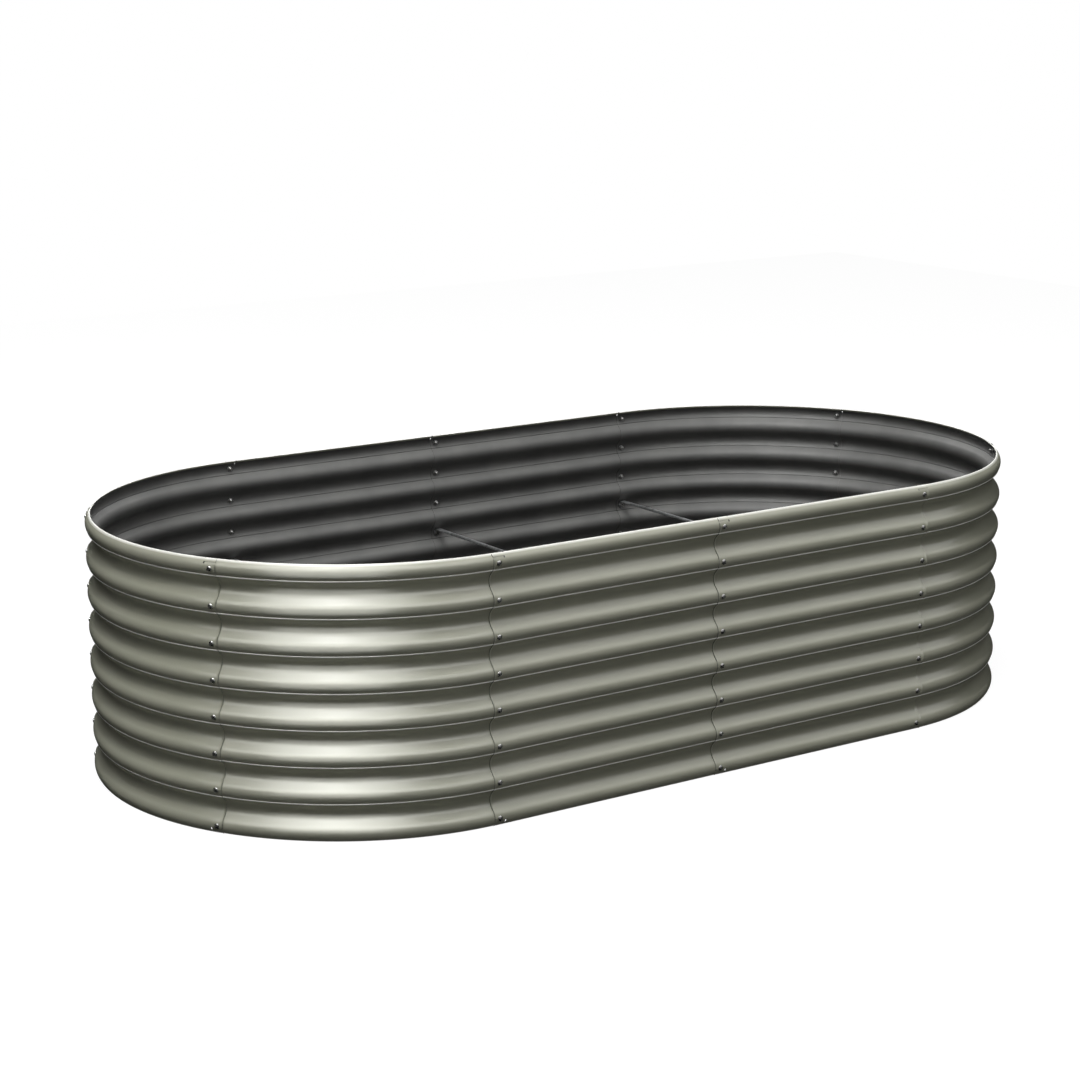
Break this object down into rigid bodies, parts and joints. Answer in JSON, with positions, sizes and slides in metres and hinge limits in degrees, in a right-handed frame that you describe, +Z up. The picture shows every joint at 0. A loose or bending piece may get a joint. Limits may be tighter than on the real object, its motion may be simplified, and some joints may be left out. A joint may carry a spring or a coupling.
{
  "type": "raised garden bed",
  "caption": "Oval raised garden bed of corrugated coated steel panels bolted together at lapped seams, open top and bottom, with tie rods across the inside.",
  "frame": {"origin": "middle of the bed's plan, on the ground that its lower edge stands on", "axes": "+X along the bed to the right, +Y from the front side to the back side, +Z up"},
  "size_m": [2.4, 1.2072, 0.597],
  "materials": {
    "panel_coat": "satin olive-grey powder coat",
    "screw_steel": "bright zinc-plated steel",
    "tie_steel": "dull galvanised steel"
  },
  "bodies": {
    "root": {"panel_front_left_curve": "panel_coat", "panel_front_right_curve": "panel_coat", "panel_right_end_curve": "panel_coat", "panel_back_right_curve": "panel_coat", "panel_back_left_curve": "panel_coat", "panel_left_end_curve": "panel_coat", "panel_front_left_flat": "panel_coat", "panel_front_right_flat": "panel_coat", "panel_back_right_flat": "panel_coat", "panel_back_left_flat": "panel_coat", "tie_rod_left": "tie_steel", "tie_rod_centre": "tie_steel", "tie_rod_right": "tie_steel", "screws_front_left": "screw_steel", "screws_front_centre": "screw_steel", "screws_front_right": "screw_steel", "screws_right_front": "screw_steel", "screws_right_back": "screw_steel", "screws_back_right": "screw_steel", "screws_back_centre": "screw_steel", "screws_back_left": "screw_steel", "screws_left_back": "screw_steel", "screws_left_front": "screw_steel", "washers_front_left": "screw_steel", "washers_front_centre": "screw_steel", "washers_front_right": "screw_steel", "washers_right_front": "screw_steel", "washers_right_back": "screw_steel", "washers_back_right": "screw_steel", "washers_back_centre": "screw_steel", "washers_back_left": "screw_steel", "washers_left_back": "screw_steel", "washers_left_front": "screw_steel", "nuts_front_left": "screw_steel", "nuts_front_centre": "screw_steel", "nuts_front_right": "screw_steel", "nuts_right_front": "screw_steel", "nuts_right_back": "screw_steel", "nuts_back_right": "screw_steel", "nuts_back_centre": "screw_steel", "nuts_back_left": "screw_steel", "nuts_left_back": "screw_steel", "nuts_left_front": "screw_steel"}
  },
  "joints": []
}
